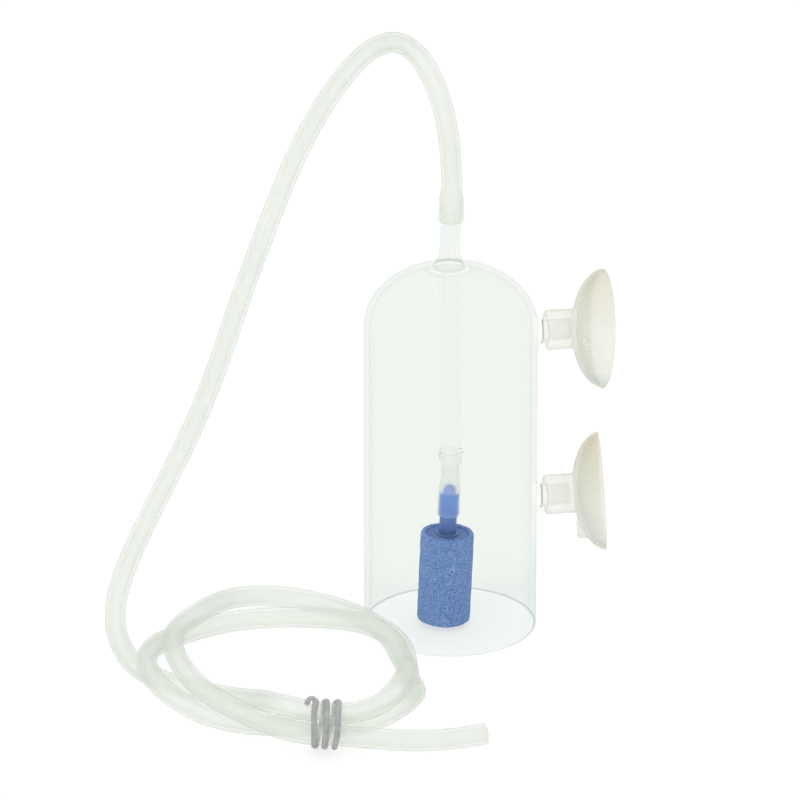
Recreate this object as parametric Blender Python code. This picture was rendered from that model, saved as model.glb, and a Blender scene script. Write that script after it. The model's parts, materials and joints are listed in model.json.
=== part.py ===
"""Carbon dioxide diffuser for an aquarium, standing on its open rim.

A glass bell hangs on a tank wall by two suction cups on glass pegs. Gas comes in through a silicone hose pushed
over the glass nipple on the dome, runs down a glass tube inside the bell, and leaves through an air stone that
hangs from a short silicone sleeve. The spare hose lies beside the bell in two loose loops held by a twist tie.

Metres, +Z up, +X along the pegs. z = 0 is the surface that the rim stands on, and x = 0 is halfway between the
bell's far side and the cups' rims.
"""

import math

import bmesh
import bpy
import numpy as np
from mathutils import Matrix, Vector

# Bell
BELL_RADIUS = 0.0250
BELL_WALL = 0.0016
BELL_STRAIGHT = 0.0932  # height of the straight wall, where the dome starts
DOME_RISE = 0.0180
RIM_CHAMFER = 0.0003

# Glass tube through the dome: the nipple above it, the down tube below it
TUBE_RADIUS = 0.00275
TUBE_BORE = 0.0017
TUBE_FOOT = 0.0502  # height of its lower end
NIPPLE_RADIUS = 0.0029
NIPPLE_TOP = 0.1318
NIPPLE_FLARE_RADIUS = 0.0048
NIPPLE_FLARE_HEIGHT = 0.0066

# Glass pegs, and the suction cups on them. Distances along +X are from the bell's axis
PEG_HEIGHTS = {"lower": 0.0380, "upper": 0.0895}
PEG_RADIUS = 0.00275
PEG_ROOT_RADIUS = 0.0046
PEG_END = 0.0344
CUP_FACE = 0.0447  # plane of the cup's rim
CUP_RADIUS = 0.0172
CUP_DEPTH = 0.0088
CUP_WALL = 0.0016
CUP_LAND = 0.0010  # width of the flat land round the rim
COLLAR_START = 0.0279
COLLAR_RADIUS = 0.00575
SOCKET_END = 0.0350
TAB_LENGTH, TAB_WIDTH, TAB_DEPTH = 0.0037, 0.0023, 0.0052
TAB_START = 0.0366
TAB_REACH = 0.0134  # radius of the pull tab's outer face
TAB_SLANT = 0.46  # slope of the tab's far face, which ends inside the shell's wall
TAB_TURN = {"lower": math.radians(75), "upper": math.radians(4)}  # from -Y towards -Z

# Air stone, its stem and the sleeve. Depths are from the bend in the sleeve, which is the pivot
PIVOT_HEIGHT = 0.0467
LEAN = math.radians(2.5)  # how far the stone hangs out of line, towards -X
SLEEVE_TOP = 0.0541
SLEEVE_WAIST = 0.0027
BEND_GAP = 0.00045  # each half of the sleeve stops this far from the pivot
SLEEVE_DEPTH = 0.0126
STEM_TOP_DEPTH = 0.0037
STEM_RADIUS = 0.0022
STEM_SHOULDER_RADIUS = 0.0025
STEM_BORE = 0.0011
STEM_END_DEPTH = 0.0300
FLANGE_RADIUS, FLANGE_THICKNESS = 0.0036, 0.0006
STONE_TOP_DEPTH = 0.0183
STONE_BASE_DEPTH = 0.0454
STONE_RADIUS = 0.0077
STONE_CHAMFER = 0.0011
STONE_RECESS_RADIUS, STONE_RECESS_DEPTH = 0.0063, 0.0006
STONE_BORE_END_DEPTH = 0.0390

# Hose: 4 mm bore, 6 mm outside, stretched where it grips the nipple
HOSE_RADIUS = 0.0030
MOUTH_HEIGHT = 0.1255
MOUTH_TOP = 0.1321
MOUTH_RADIUS = 0.0038
HOSE_SPACING = 0.0120  # between the points of the tube

# Twist tie: steel wire in a plastic coat, wound round the bundle of three strands
TIE_TURNS = 3
TIE_PITCH = 0.00305
TIE_RADIUS = 0.00092
TIE_BORE = 0.00050
TIE_WIRE_RADIUS = 0.00025
TIE_CLEARANCE = 0.00056
TIE_PLACE = Vector((-0.0505, -0.0793, 0))  # from the bell's axis
TIE_HEADING = math.radians(-14)  # the way the strands run, from +X
TIE_STRANDS = ((0.0032, 0.0057), (-0.0002, 0.0114), (-0.0038, 0.0055))  # across and height of each strand

GAP = 0.0003  # between pieces that touch
AXIS_X = -(CUP_FACE - BELL_RADIUS) / 2  # the bell's axis

# The hose's centre line from the nipple to its cut end, in metres from the bell's axis. It arches over, comes
# down to the surface on the left, and lies in two loops that pass over each other in long low humps.
HOSE_ROUTE = (
    (0.0000, 0.0000, 0.1255),
    (0.0000, 0.0000, 0.1425),
    (-0.0025, 0.0070, 0.1620),
    (-0.0090, 0.0240, 0.1705),
    (-0.0175, 0.0380, 0.1635),
    (-0.0290, 0.0410, 0.1480),
    (-0.0393, 0.0370, 0.1315),
    (-0.0477, 0.0315, 0.1150),
    (-0.0557, 0.0270, 0.0970),
    (-0.0632, 0.0240, 0.0775),
    (-0.0708, 0.0220, 0.0595),
    (-0.0795, 0.0195, 0.0430),
    (-0.0898, 0.0145, 0.0255),
    (-0.0975, 0.0045, 0.0105),
    (-0.0975, -0.0130, 0.0040),
    (-0.0915, -0.0295, 0.0032),
    (-0.0805, -0.0410, 0.0032),
    (-0.0705, -0.0535, 0.0055),
    (-0.0640, -0.0695, 0.0110),
    (-0.0480, -0.0805, 0.0112),
    (-0.0345, -0.0775, 0.0120),
    (-0.0250, -0.0645, 0.0145),
    (-0.0230, -0.0470, 0.0110),
    (-0.0245, -0.0285, 0.0110),
    (-0.0370, -0.0090, 0.0080),
    (-0.0480, 0.0020, 0.0045),
    (-0.0620, 0.0050, 0.0032),
    (-0.0795, -0.0045, 0.0045),
    (-0.0900, -0.0200, 0.0085),
    (-0.0945, -0.0390, 0.0095),
    (-0.0835, -0.0575, 0.0045),
    (-0.0670, -0.0670, 0.0032),
    (-0.0550, -0.0740, 0.0053),
    (-0.0410, -0.0770, 0.0057),
    (-0.0230, -0.0640, 0.0070),
    (-0.0200, -0.0430, 0.0032),
    (-0.0195, -0.0265, 0.0060),
    (-0.0265, -0.0110, 0.0075),
    (-0.0320, 0.0030, 0.0055),
    (-0.0425, 0.0120, 0.0055),
    (-0.0580, 0.0120, 0.0075),
    (-0.0725, -0.0015, 0.0105),
    (-0.0830, -0.0175, 0.0120),
    (-0.0865, -0.0355, 0.0130),
    (-0.0830, -0.0535, 0.0110),
    (-0.0730, -0.0700, 0.0090),
    (-0.0605, -0.0790, 0.0062),
    (-0.0440, -0.0845, 0.0055),
    (-0.0250, -0.0870, 0.0038),
    (-0.0060, -0.0845, 0.0032),
)


# Helpers


def clear_scene():
    for obj in list(bpy.data.objects):
        bpy.data.objects.remove(obj)


def material(name, color, roughness, metallic=0.0, transmission=0.0):
    made = bpy.data.materials.new(name)
    made.use_nodes = True
    shader = made.node_tree.nodes["Principled BSDF"]
    shader.inputs["Base Color"].default_value = (*color, 1)
    shader.inputs["Roughness"].default_value = roughness
    shader.inputs["Metallic"].default_value = metallic
    shader.inputs["Transmission Weight"].default_value = transmission
    return made


def add_object(name, data, look, location=(0, 0, 0), rotation=(0, 0, 0)):
    obj = bpy.data.objects.new(name, data)
    bpy.context.scene.collection.objects.link(obj)
    obj.location = location
    obj.rotation_euler = rotation
    if look:
        data.materials.append(look)
    return obj


def finished_mesh(name, bm, sharp_angle=35):
    bmesh.ops.recalc_face_normals(bm, faces=bm.faces)
    mesh = bpy.data.meshes.new(name)
    bm.to_mesh(mesh)
    bm.free()
    mesh.shade_smooth()
    mesh.set_sharp_from_angle(angle=math.radians(sharp_angle))
    return mesh


def turned_mesh(name, outline, steps):
    """An outline of (radius, height) points turned round Z. It is a closed loop, or starts and ends on the axis."""
    bm = bmesh.new()
    verts = [bm.verts.new((radius, 0, height)) for radius, height in outline]
    on_axis = outline[0][0] == 0 and outline[-1][0] == 0
    pairs = list(zip(verts, verts[1:])) if on_axis else list(zip(verts, verts[1:] + verts[:1]))
    edges = [bm.edges.new(pair) for pair in pairs]
    bmesh.ops.spin(
        bm, geom=verts + edges, cent=(0, 0, 0), axis=(0, 0, 1), angle=2 * math.pi, steps=steps, use_merge=True
    )
    bmesh.ops.remove_doubles(bm, verts=bm.verts, dist=1e-6)
    bmesh.ops.dissolve_degenerate(bm, edges=bm.edges, dist=1e-7)
    return finished_mesh(name, bm)


def ellipse(radius, rise, base, first, last, steps):
    """(radius, height) points on an ellipse round (0, base), between two radii, both above its centre."""
    start, end = math.acos(first / radius), math.acos(last / radius)
    angles = [start + (end - start) * k / steps for k in range(steps + 1)]
    return [(radius * math.cos(a), base + rise * math.sin(a)) for a in angles]


def smooth_curve(points, per_span):
    """A natural cubic spline through the points, spaced by chord length."""
    points = np.array(points)
    chords = np.linalg.norm(np.diff(points, axis=0), axis=1)
    count = len(points)
    system, target = np.eye(count), np.zeros((count, 3))
    for k in range(1, count - 1):
        before, after = chords[k - 1], chords[k]
        system[k, k - 1 : k + 2] = before, 2 * (before + after), after
        target[k] = 6 * ((points[k + 1] - points[k]) / after - (points[k] - points[k - 1]) / before)
    bends = np.linalg.solve(system, target)
    curve = []
    for k, chord in enumerate(chords):
        for t in np.arange(per_span) / per_span:
            near, far = 1 - t, t
            curve.append(
                near * points[k]
                + far * points[k + 1]
                + chord**2 / 6 * ((near**3 - near) * bends[k] + (far**3 - far) * bends[k + 1])
            )
    curve.append(points[-1])
    return np.array(curve)


def evenly_spaced(curve, spacing):
    along = np.concatenate([[0], np.cumsum(np.linalg.norm(np.diff(curve, axis=0), axis=1))])
    count = round(along[-1] / spacing) + 1
    stations = np.linspace(0, along[-1], count)
    return np.stack([np.interp(stations, along, curve[:, k]) for k in range(3)], axis=1)


def swept_mesh(name, path, outer, inner, sides):
    """A round tube along the path, or a rod where inner is 0. Its rings turn as little as they can."""
    path = [Vector(point) for point in path]
    bm = bmesh.new()
    outside, inside = [], []
    normal = None
    for k, point in enumerate(path):
        tangent = (path[min(k + 1, len(path) - 1)] - path[max(k - 1, 0)]).normalized()
        normal = tangent.orthogonal() if normal is None else normal - tangent * normal.dot(tangent)
        normal.normalize()
        side = tangent.cross(normal)
        turns = [2 * math.pi * j / sides for j in range(sides)]
        spokes = [normal * math.cos(turn) + side * math.sin(turn) for turn in turns]
        outside.append([bm.verts.new(point + spoke * outer) for spoke in spokes])
        if inner:
            inside.append([bm.verts.new(point + spoke * inner) for spoke in spokes])

    def bridge(first, second):
        for j in range(sides):
            following = (j + 1) % sides
            bm.faces.new((first[j], first[following], second[following], second[j]))

    for rings in (outside, inside):
        for first, second in zip(rings, rings[1:]):
            bridge(first, second)
    for end in (0, -1):
        if inner:
            bridge(outside[end], inside[end])
        else:
            bm.faces.new(outside[end])
    return finished_mesh(name, bm, sharp_angle=60)


# Glass


def make_bell(glass):
    hole = TUBE_RADIUS + GAP
    inside = BELL_RADIUS - BELL_WALL
    outline = [(BELL_RADIUS - RIM_CHAMFER, 0), (BELL_RADIUS, RIM_CHAMFER)]
    outline += ellipse(BELL_RADIUS, DOME_RISE, BELL_STRAIGHT, BELL_RADIUS, hole, 9)
    outline += reversed(ellipse(inside, DOME_RISE - BELL_WALL, BELL_STRAIGHT, inside, hole, 8))
    outline += [(inside, RIM_CHAMFER), (inside + RIM_CHAMFER, 0)]
    return add_object("glass_bell", turned_mesh("glass_bell", outline, 40), glass, (AXIS_X, 0, 0))


def dome_height(radius):
    return BELL_STRAIGHT + DOME_RISE * math.sqrt(1 - (radius / BELL_RADIUS) ** 2)


def make_inlet_tube(glass):
    """The nipple flares out to a foot on the dome, and the tube goes on down through the hole."""
    foot = dome_height(NIPPLE_FLARE_RADIUS) + GAP
    flare = [
        (
            NIPPLE_RADIUS + (NIPPLE_FLARE_RADIUS - NIPPLE_RADIUS) * (1 - share) ** 2,
            foot + 0.0004 + NIPPLE_FLARE_HEIGHT * share,
        )
        for share in (0, 0.25, 0.5, 0.75, 1)
    ]
    tip = 0.0006
    outline = [
        (TUBE_BORE, TUBE_FOOT),
        (TUBE_RADIUS, TUBE_FOOT),
        (TUBE_RADIUS, dome_height(TUBE_RADIUS) + GAP),
        (NIPPLE_FLARE_RADIUS, foot),
        *flare,
        (NIPPLE_RADIUS, NIPPLE_TOP - tip),
        (NIPPLE_RADIUS - tip, NIPPLE_TOP),
        (TUBE_BORE, NIPPLE_TOP),
    ]
    return add_object("inlet_tube", turned_mesh("inlet_tube", outline, 20), glass, (AXIS_X, 0, 0))


def make_peg(level, glass):
    root = BELL_RADIUS + GAP
    outline = [
        (0, root),
        (PEG_ROOT_RADIUS, root),
        (0.0038, root + 0.0006),
        (0.0030, root + 0.0015),
        (PEG_RADIUS, root + 0.0024),
        (PEG_RADIUS, PEG_END - 0.0018),
        (PEG_RADIUS * 0.85, PEG_END - 0.0008),
        (PEG_RADIUS * 0.5, PEG_END - 0.0002),
        (0, PEG_END),
    ]
    mesh = turned_mesh(f"{level}_peg", outline, 20)
    return add_object(f"{level}_peg", mesh, glass, (AXIS_X, 0, PEG_HEIGHTS[level]), (0, math.pi / 2, 0))


# Suction cups


def cup_mesh(name):
    """Local +Z runs from the bell to the cup's rim. The shell's centre of curvature is just past the rim."""
    past = 0.0008
    centre = CUP_FACE + past
    outer_rise, inner_rise = CUP_DEPTH + past, CUP_DEPTH + past - CUP_WALL
    edge = math.sqrt(1 - (past / outer_rise) ** 2)
    inner_radius = (CUP_RADIUS - CUP_LAND) / math.sqrt(1 - (past / inner_rise) ** 2)
    outer_radius = CUP_RADIUS / edge
    socket = PEG_RADIUS + GAP
    inner = ellipse(inner_radius, -inner_rise, centre, CUP_RADIUS - CUP_LAND, 0, 7)
    outer = ellipse(outer_radius, -outer_rise, centre, COLLAR_RADIUS + 0.0006, CUP_RADIUS, 7)
    inner[0] = (CUP_RADIUS - CUP_LAND, CUP_FACE)
    outer[-1] = (CUP_RADIUS, CUP_FACE)
    outline = [
        (0, SOCKET_END),
        (socket, SOCKET_END),
        (socket, COLLAR_START),
        (COLLAR_RADIUS - 0.0004, COLLAR_START),
        (COLLAR_RADIUS, COLLAR_START + 0.0004),
        (COLLAR_RADIUS, outer[0][1] - 0.0006),
        *outer,
        *inner,
    ]
    outline[-1] = (0, outline[-1][1])
    return turned_mesh(name, outline, 32)


def make_cup(level, silicone):
    """The cup turns on its peg: its origin is on the peg's axis."""
    name = f"{level}_suction_cup"
    place = (AXIS_X, 0, PEG_HEIGHTS[level])
    cup = add_object(name, cup_mesh(name), silicone, place, (0, math.pi / 2, 0))
    bm = bmesh.new()
    size = Matrix.Diagonal((TAB_WIDTH, TAB_DEPTH, TAB_LENGTH, 1))
    bmesh.ops.create_cube(bm, size=1, matrix=size)
    bmesh.ops.bevel(bm, geom=bm.edges, offset=0.0004, segments=1, affect="EDGES")
    bmesh.ops.translate(bm, verts=bm.verts, vec=(0, TAB_DEPTH / 2 - TAB_REACH, TAB_START + TAB_LENGTH / 2))
    for vert in bm.verts:
        if vert.co.z > TAB_START + TAB_LENGTH / 2:
            vert.co.z -= TAB_SLANT * (TAB_REACH + vert.co.y)
    tab = add_object(f"{name}_tab", finished_mesh(f"{name}_tab", bm), silicone)
    tab.parent = cup
    tab.rotation_euler = (0, 0, TAB_TURN[level])
    tab.hide_render = True
    tab.display_type = "WIRE"
    join = cup.modifiers.new("tab", "BOOLEAN")
    join.operation = "UNION"
    join.object = tab
    return cup


# Sleeve, stem and stone


def make_sleeve_upper_half(silicone):
    """The half that grips the glass tube, down to the bend."""
    grip = TUBE_RADIUS + GAP
    end = PIVOT_HEIGHT + BEND_GAP
    outline = [
        (grip, SLEEVE_TOP),
        (grip, TUBE_FOOT - 0.0002),
        (SLEEVE_WAIST - 0.0008, end + 0.0005),
        (SLEEVE_WAIST - 0.0008, end),
        (SLEEVE_WAIST, end),
        (SLEEVE_WAIST + 0.0001, end + 0.0008),
        (grip + 0.0003, TUBE_FOOT - 0.0004),
        (grip + 0.0005, TUBE_FOOT + 0.0012),
        (grip + 0.0006, SLEEVE_TOP),
    ]
    return add_object("sleeve_upper_half", turned_mesh("sleeve_upper_half", outline, 16), silicone, (AXIS_X, 0, 0))


def make_stone_group(silicone, blue_plastic, mineral):
    """The lower half of the sleeve, the stem and the stone lean together about the pivot."""
    pivot = add_object("stone_pivot", None, None, (AXIS_X, 0, PIVOT_HEIGHT), (0, LEAN, 0))
    grip = STEM_RADIUS + GAP
    sleeve = [
        (SLEEVE_WAIST - 0.0008, -BEND_GAP),
        (SLEEVE_WAIST - 0.0008, -BEND_GAP - 0.0008),
        (grip, -STEM_TOP_DEPTH + 0.0002),
        (grip, -SLEEVE_DEPTH),
        (grip + 0.0008, -SLEEVE_DEPTH),
        (grip + 0.0007, -SLEEVE_DEPTH + 0.0015),
        (grip + 0.0006, -STEM_TOP_DEPTH - 0.0012),
        (SLEEVE_WAIST + 0.0001, -BEND_GAP - 0.0012),
        (SLEEVE_WAIST, -BEND_GAP),
    ]
    shoulder = -SLEEVE_DEPTH - GAP
    flange_top = -STONE_TOP_DEPTH - STONE_RECESS_DEPTH + GAP + FLANGE_THICKNESS
    stem = [
        (STEM_BORE, -STEM_TOP_DEPTH),
        (STEM_BORE, -STEM_END_DEPTH),
        (STEM_SHOULDER_RADIUS, -STEM_END_DEPTH),
        (STEM_SHOULDER_RADIUS, flange_top - FLANGE_THICKNESS),
        (FLANGE_RADIUS, flange_top - FLANGE_THICKNESS),
        (FLANGE_RADIUS, flange_top),
        (STEM_SHOULDER_RADIUS, flange_top),
        (STEM_SHOULDER_RADIUS, shoulder),
        (STEM_RADIUS, shoulder),
        (STEM_RADIUS, -STEM_TOP_DEPTH - 0.0006),
        (STEM_RADIUS - 0.0006, -STEM_TOP_DEPTH),
    ]
    bore = STEM_SHOULDER_RADIUS + GAP
    stone = [
        (0, -STONE_BORE_END_DEPTH),
        (bore, -STONE_BORE_END_DEPTH),
        (bore, -STONE_TOP_DEPTH - STONE_RECESS_DEPTH),
        (STONE_RECESS_RADIUS - 0.0002, -STONE_TOP_DEPTH - STONE_RECESS_DEPTH),
        (STONE_RECESS_RADIUS, -STONE_TOP_DEPTH),
        (STONE_RADIUS - STONE_CHAMFER, -STONE_TOP_DEPTH),
        (STONE_RADIUS, -STONE_TOP_DEPTH - STONE_CHAMFER),
        (STONE_RADIUS, -STONE_BASE_DEPTH + STONE_CHAMFER),
        (STONE_RADIUS - STONE_CHAMFER, -STONE_BASE_DEPTH),
        (0, -STONE_BASE_DEPTH),
    ]
    for name, outline, steps, look in (
        ("sleeve_lower_half", sleeve, 16, silicone),
        ("stone_stem", stem, 16, blue_plastic),
        ("air_stone", stone, 28, mineral),
    ):
        add_object(name, turned_mesh(name, outline, steps), look).parent = pivot


# Hose and tie


def make_hose_mouth(silicone):
    """The stretched end of the hose, hollow round the nipple."""
    grip = NIPPLE_RADIUS + GAP
    outline = [
        (grip, MOUTH_TOP),
        (grip, MOUTH_HEIGHT),
        (MOUTH_RADIUS - 0.0001, MOUTH_HEIGHT),
        (MOUTH_RADIUS, MOUTH_HEIGHT + 0.0008),
        (grip + 0.0005, MOUTH_HEIGHT + 0.0036),
        (grip + 0.0003, MOUTH_TOP),
    ]
    return add_object("hose_mouth", turned_mesh("hose_mouth", outline, 16), silicone, (AXIS_X, 0, 0))


def make_supply_hose(silicone):
    """One tube from just above the nipple's top to the cut end."""
    curve = smooth_curve(HOSE_ROUTE, 24)
    start = MOUTH_TOP + GAP
    above = np.argmax(curve[:, 2] > start)
    points = evenly_spaced(np.vstack([[[0, 0, start]], curve[above:]]), HOSE_SPACING)
    data = bpy.data.curves.new("supply_hose", "CURVE")
    data.dimensions = "3D"
    data.bevel_depth = HOSE_RADIUS
    data.bevel_resolution = 2
    data.use_fill_caps = True
    spline = data.splines.new("POLY")
    spline.points.add(len(points) - 1)
    for place, point in zip(spline.points, points):
        place.co = (*point, 1)
    return add_object("supply_hose", data, silicone, (AXIS_X, 0, 0))


def tie_path():
    """Three turns round the outline of the three strands, then a short tail bent outwards."""
    along = Vector((math.cos(TIE_HEADING), math.sin(TIE_HEADING), 0))
    across = Vector((math.sin(TIE_HEADING), -math.cos(TIE_HEADING), 0))
    reach = HOSE_RADIUS + TIE_CLEARANCE + TIE_RADIUS
    per_turn = 16
    path = []
    for k in range(TIE_TURNS * per_turn + 1):
        turn = math.radians(100) + 2 * math.pi * k / per_turn
        outward = (math.cos(turn), math.sin(turn))
        side, height = max(TIE_STRANDS, key=lambda s: s[0] * outward[0] + s[1] * outward[1])
        advance = TIE_PITCH * (k / per_turn - TIE_TURNS / 2)
        place = TIE_PLACE + along * advance + across * (side + reach * outward[0])
        path.append(place + Vector((0, 0, height + reach * outward[1])))
    tail = [(-0.0014, -0.0006, 0.0004), (-0.0028, -0.0004, 0.0012), (-0.0040, 0.0010, 0.0010)]
    first = path[0]
    lead = [first + along * a + across * c + Vector((0, 0, up)) for a, c, up in tail]
    return list(reversed(lead)) + path


def make_twist_tie(plastic, steel):
    path = tie_path()
    place = (AXIS_X, 0, 0)
    add_object("twist_tie_coat", swept_mesh("twist_tie_coat", path, TIE_RADIUS, TIE_BORE, 6), plastic, place)
    add_object("twist_tie_wire", swept_mesh("twist_tie_wire", path, TIE_WIRE_RADIUS, 0, 6), steel, place)


def main():
    clear_scene()
    glass = material("borosilicate_glass", (0.93, 0.97, 0.95), 0.03, transmission=1.0)
    hose_silicone = material("hose_silicone", (0.80, 0.84, 0.79), 0.35)
    cup_silicone = material("cup_silicone", (0.83, 0.82, 0.74), 0.4)
    blue_plastic = material("blue_plastic", (0.13, 0.27, 0.72), 0.35)
    mineral = material("blue_mineral", (0.10, 0.19, 0.47), 0.95)
    grey_plastic = material("grey_plastic", (0.36, 0.36, 0.39), 0.5)
    steel = material("steel_wire", (0.55, 0.55, 0.55), 0.35, metallic=1.0)

    make_bell(glass)
    make_inlet_tube(glass)
    for level in PEG_HEIGHTS:
        make_peg(level, glass)
        make_cup(level, cup_silicone)
    make_sleeve_upper_half(hose_silicone)
    make_stone_group(hose_silicone, blue_plastic, mineral)
    make_hose_mouth(hose_silicone)
    make_supply_hose(hose_silicone)
    make_twist_tie(grey_plastic, steel)


main()
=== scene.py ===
"""Looks of the carbon dioxide diffuser: fused glass, soft silicone, a grainy stone, the hose and its tie."""

import json
import math

import bmesh
import bpy
import numpy as np
from mathutils import Matrix, Vector, noise


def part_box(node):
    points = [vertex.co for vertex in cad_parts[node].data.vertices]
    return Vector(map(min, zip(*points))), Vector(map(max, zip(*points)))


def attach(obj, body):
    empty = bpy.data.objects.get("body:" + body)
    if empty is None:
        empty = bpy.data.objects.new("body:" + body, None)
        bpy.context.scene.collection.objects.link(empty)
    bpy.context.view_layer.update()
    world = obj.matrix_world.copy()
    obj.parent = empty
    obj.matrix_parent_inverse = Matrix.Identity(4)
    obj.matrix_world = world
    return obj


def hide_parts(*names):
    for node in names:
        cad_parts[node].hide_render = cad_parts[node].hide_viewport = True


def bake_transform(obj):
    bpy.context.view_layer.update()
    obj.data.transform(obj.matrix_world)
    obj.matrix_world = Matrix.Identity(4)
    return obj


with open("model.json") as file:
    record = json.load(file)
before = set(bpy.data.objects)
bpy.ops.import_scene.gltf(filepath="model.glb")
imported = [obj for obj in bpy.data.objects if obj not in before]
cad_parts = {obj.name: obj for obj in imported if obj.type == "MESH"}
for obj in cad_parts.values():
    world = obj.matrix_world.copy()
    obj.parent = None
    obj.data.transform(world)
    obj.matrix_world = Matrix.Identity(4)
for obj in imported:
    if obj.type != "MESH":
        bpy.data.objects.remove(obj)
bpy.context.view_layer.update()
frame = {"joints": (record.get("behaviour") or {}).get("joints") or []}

# The bell's place and size, from the frame
BELL_LOW, BELL_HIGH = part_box("glass_bell")
AXIS_X = (BELL_LOW.x + BELL_HIGH.x) / 2
BELL_RADIUS = (BELL_HIGH.x - BELL_LOW.x) / 2
BELL_WALL = 0.0016
DOME_RISE = 0.0180
STRAIGHT_TOP = BELL_HIGH.z - DOME_RISE  # within 0.2 mm, as the tube's hole takes the dome's very top

# Inlet tube and nipple
TUBE_LOW, TUBE_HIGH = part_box("inlet_tube")
TUBE_RADIUS = 0.00275
TUBE_BORE = 0.0017
NIPPLE_RADIUS = 0.0029
NIPPLE_FOOT_RADIUS = 0.0047
NIPPLE_FLARE = 0.0068  # how high the flare of its foot goes
NIPPLE_SHIFT = 0.0006  # how far its foot stands off the bell's axis, towards -X
BEAD = ((0.0072, 0), (0.0064, 0.00028), (0.0056, 0.00020))  # radii and rises of the bead round its foot
TUBE_WELD = 0.0040  # radius at which the inner tube's fillet meets the dome's inside

# Pegs and cups, along +X from the bell's axis
PEG_RADIUS, PEG_ROOT_RADIUS = 0.00275, 0.0049
CUP_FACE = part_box("upper_suction_cup")[1].x - AXIS_X
COLLAR_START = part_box("upper_suction_cup")[0].x - AXIS_X
CUP_RADIUS = 0.0172
CUP_DEPTH = 0.0088
CUP_WALL = 0.0016
COLLAR_RADIUS = 0.00575
SOCKET_END, COLLAR_END = 0.0350, 0.0360
TAB_REACH = 0.0134
TAB_START, TAB_LENGTH, TAB_WIDTH, TAB_DEPTH = 0.0366, 0.0037, 0.0023, 0.0052
TAB_SLANT = 0.46  # slope of the tab's far face, which ends inside the shell's wall
TAB_TURN = {"lower": math.radians(75), "upper": math.radians(4)}  # from -Y towards -Z
CUP_DROOP = {"lower": (8, -3.6), "upper": (0, 4)}  # degrees that the soft shell bends sideways and up
BEND_PLACE, BEND_LENGTH = 0.0345, 0.0035  # where on the collar it bends, and over what length

# Stone, stem and sleeve, at depths below the bend that the stone swings about
JOINTS = {joint["name"]: joint for joint in frame["joints"]}
PIVOT = Vector(JOINTS["stone_swing"]["pos_m"])
LEAN = math.radians(2.5)
STONE_RADIUS = 0.0077
STONE_TOP, STONE_BASE = -0.0183, -0.0454
RECESS_RADIUS, STONE_RECESS = 0.0063, 0.0006
SLEEVE_TOP = 0.0541
SLEEVE_DEPTH = 0.0126
STEM_TOP = -0.0037
STEM_RADIUS, STEM_BORE = 0.0021, 0.0008

# Hose
HOSE_RADIUS = 0.0030
HOSE_BORE = 0.0020
MOUTH_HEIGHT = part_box("hose_mouth")[0].z
MOUTH_RADIUS = 0.0038
HOSE_ROUTE = (
    (0.0000, 0.0000, 0.1255),
    (0.0000, 0.0000, 0.1425),
    (-0.0025, 0.0070, 0.1620),
    (-0.0090, 0.0240, 0.1705),
    (-0.0175, 0.0380, 0.1635),
    (-0.0290, 0.0410, 0.1480),
    (-0.0393, 0.0370, 0.1315),
    (-0.0477, 0.0315, 0.1150),
    (-0.0557, 0.0270, 0.0970),
    (-0.0632, 0.0240, 0.0775),
    (-0.0708, 0.0220, 0.0595),
    (-0.0795, 0.0195, 0.0430),
    (-0.0898, 0.0145, 0.0255),
    (-0.0975, 0.0045, 0.0105),
    (-0.0975, -0.0130, 0.0040),
    (-0.0915, -0.0295, 0.0032),
    (-0.0805, -0.0410, 0.0032),
    (-0.0705, -0.0535, 0.0055),
    (-0.0640, -0.0695, 0.0110),
    (-0.0480, -0.0805, 0.0112),
    (-0.0345, -0.0775, 0.0120),
    (-0.0250, -0.0645, 0.0145),
    (-0.0230, -0.0470, 0.0110),
    (-0.0245, -0.0285, 0.0110),
    (-0.0370, -0.0090, 0.0080),
    (-0.0480, 0.0020, 0.0045),
    (-0.0620, 0.0050, 0.0032),
    (-0.0795, -0.0045, 0.0045),
    (-0.0900, -0.0200, 0.0085),
    (-0.0945, -0.0390, 0.0095),
    (-0.0835, -0.0575, 0.0045),
    (-0.0670, -0.0670, 0.0032),
    (-0.0550, -0.0740, 0.0053),
    (-0.0410, -0.0770, 0.0057),
    (-0.0230, -0.0640, 0.0070),
    (-0.0200, -0.0430, 0.0032),
    (-0.0195, -0.0265, 0.0060),
    (-0.0265, -0.0110, 0.0075),
    (-0.0320, 0.0030, 0.0055),
    (-0.0425, 0.0120, 0.0055),
    (-0.0580, 0.0120, 0.0075),
    (-0.0725, -0.0015, 0.0105),
    (-0.0830, -0.0175, 0.0120),
    (-0.0865, -0.0355, 0.0130),
    (-0.0830, -0.0535, 0.0110),
    (-0.0730, -0.0700, 0.0090),
    (-0.0605, -0.0790, 0.0062),
    (-0.0440, -0.0845, 0.0055),
    (-0.0250, -0.0870, 0.0038),
    (-0.0060, -0.0845, 0.0032),
)

# Twist tie
TIE_TURNS = 3
TIE_PITCH = 0.00305
TIE_PLACE = Vector((-0.0505, -0.0793, 0))
TIE_HEADING = math.radians(-14)
TIE_WIDTH, TIE_THICKNESS = 0.0017, 0.0010
WIRE_RADIUS = 0.00025

# Camera
VIEW_AZIMUTH, VIEW_ELEVATION = math.radians(-10.5), math.radians(22.7)
VIEW_DISTANCE = 2.5
VIEW_WIDTH = 0.23256
AIM_RIGHT, AIM_UP = -0.01453, 0.06445  # the picture's middle, from the foot of the bell's axis


def srgb(*levels):
    """A linear colour from display levels of 0 to 255."""
    shares = [level / 255 for level in levels]
    return tuple(s / 12.92 if s <= 0.04045 else ((s + 0.055) / 1.055) ** 2.4 for s in shares)


# Camera, lights and floor


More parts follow.
